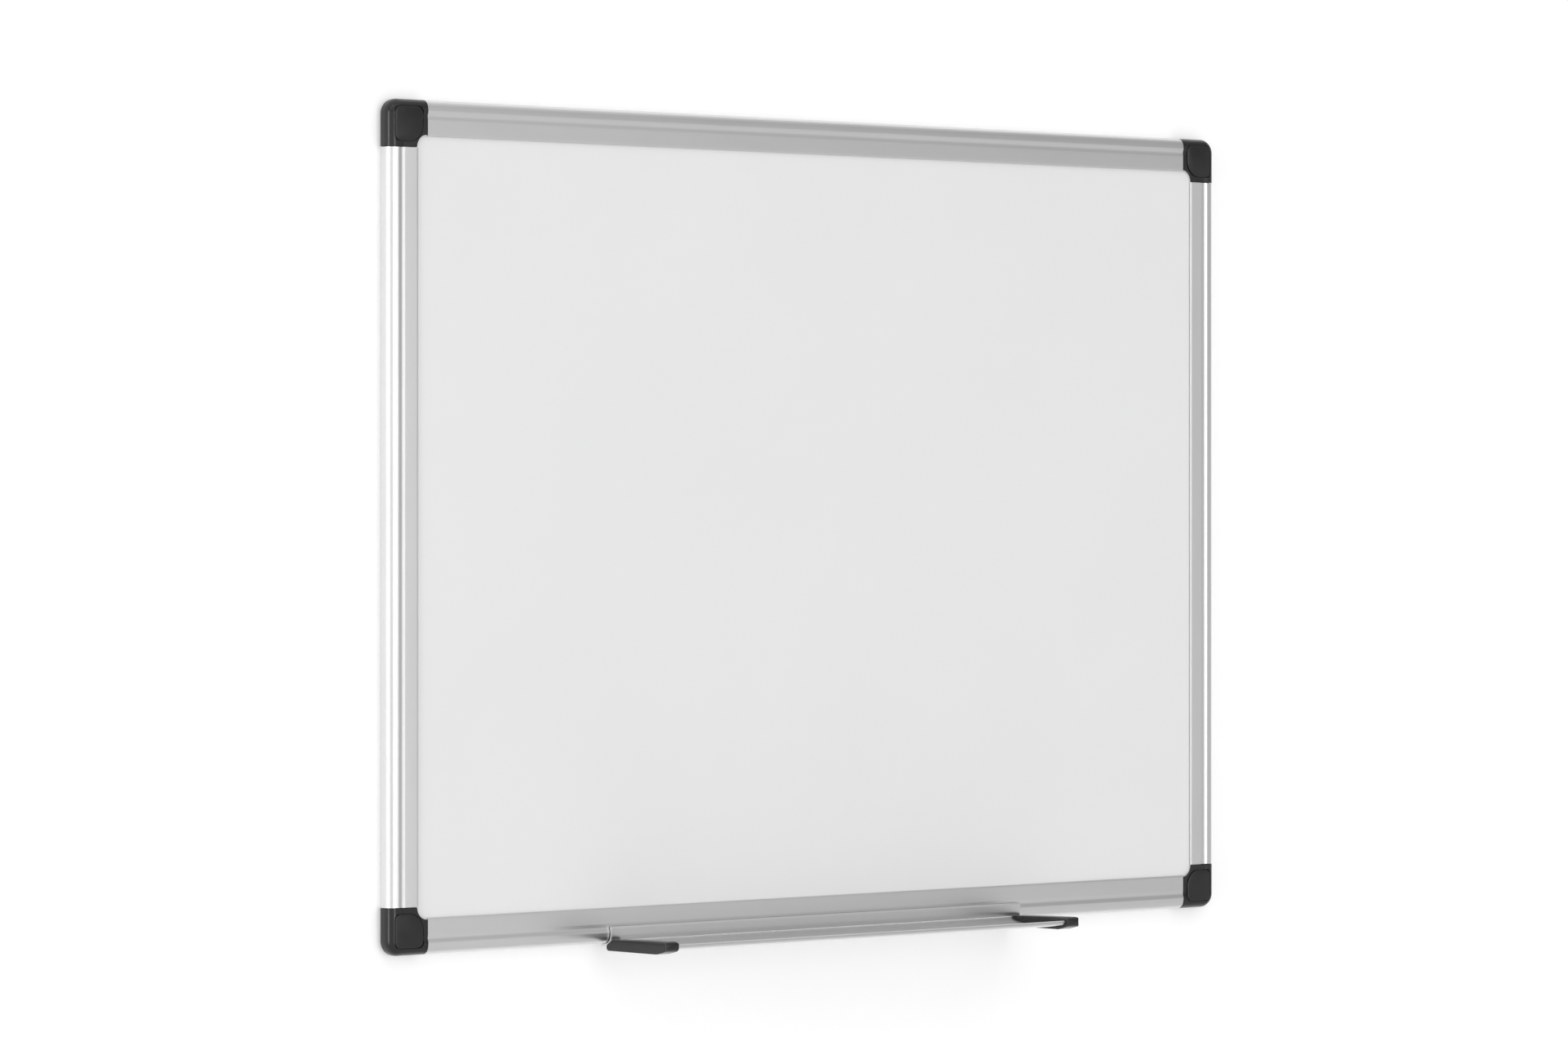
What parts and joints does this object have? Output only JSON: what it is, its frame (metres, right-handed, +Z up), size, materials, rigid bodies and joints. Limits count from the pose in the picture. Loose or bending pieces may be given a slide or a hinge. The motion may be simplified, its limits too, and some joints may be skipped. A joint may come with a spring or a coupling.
{
  "type": "magnetic whiteboard",
  "caption": "Framed magnetic whiteboard for a wall, with plastic corner caps, snap covers over the screws and a clip-on pen tray that slides along the lower rail.",
  "frame": {"origin": "centre of the board on the wall plane, where the frame's back rests", "axes": "+X to the right as seen by someone facing the board, +Z up, and the writing surface faces -Y"},
  "size_m": [0.6, 0.0863, 0.4537],
  "materials": {
    "anodised_aluminium": "fine satin anodised, with the faint lengthwise lines of an extrusion",
    "dark_grey_plastic": "moulded, finely textured, low sheen",
    "white_lacquer": "smooth gloss lacquer on steel sheet",
    "fibreboard": "raw pressed fibre",
    "galvanised_steel": "dull zinc spangle",
    "zinc_plated_steel": "bright zinc plate"
  },
  "bodies": {
    "board": {"backing_sheet": "galvanised_steel", "core_board": "fibreboard", "writing_sheet": "white_lacquer", "frame_rail_bottom": "anodised_aluminium", "frame_rail_left": "anodised_aluminium", "frame_rail_top": "anodised_aluminium", "frame_rail_right": "anodised_aluminium", "corner_cap_bottom_left": "dark_grey_plastic", "corner_cap_top_left": "dark_grey_plastic", "corner_cap_top_right": "dark_grey_plastic", "corner_cap_bottom_right": "dark_grey_plastic", "wall_screw_bottom_left": "zinc_plated_steel", "wall_screw_top_left": "zinc_plated_steel", "wall_screw_top_right": "zinc_plated_steel", "wall_screw_bottom_right": "zinc_plated_steel"},
    "tray": {"pen_tray": "anodised_aluminium", "tray_end_cap_left": "dark_grey_plastic", "tray_end_cap_right": "dark_grey_plastic"},
    "cover_bottom_left": {"screw_cover_bottom_left": "dark_grey_plastic"},
    "cover_top_left": {"screw_cover_top_left": "dark_grey_plastic"},
    "cover_top_right": {"screw_cover_top_right": "dark_grey_plastic"},
    "cover_bottom_right": {"screw_cover_bottom_right": "dark_grey_plastic"}
  },
  "joints": [
    {"name": "tray_slide", "type": "slide", "parent": "board", "child": "tray", "axis": [1, 0, 0], "range_m": [-0.12, 0.128]},
    {"name": "cover_pull_bottom_left", "type": "slide", "parent": "board", "child": "cover_bottom_left", "axis": [0, -1, 0], "range_m": [0, 0.015]},
    {"name": "cover_pull_top_left", "type": "slide", "parent": "board", "child": "cover_top_left", "axis": [0, -1, 0], "range_m": [0, 0.015]},
    {"name": "cover_pull_top_right", "type": "slide", "parent": "board", "child": "cover_top_right", "axis": [0, -1, 0], "range_m": [0, 0.015]},
    {"name": "cover_pull_bottom_right", "type": "slide", "parent": "board", "child": "cover_bottom_right", "axis": [0, -1, 0], "range_m": [0, 0.015]}
  ]
}
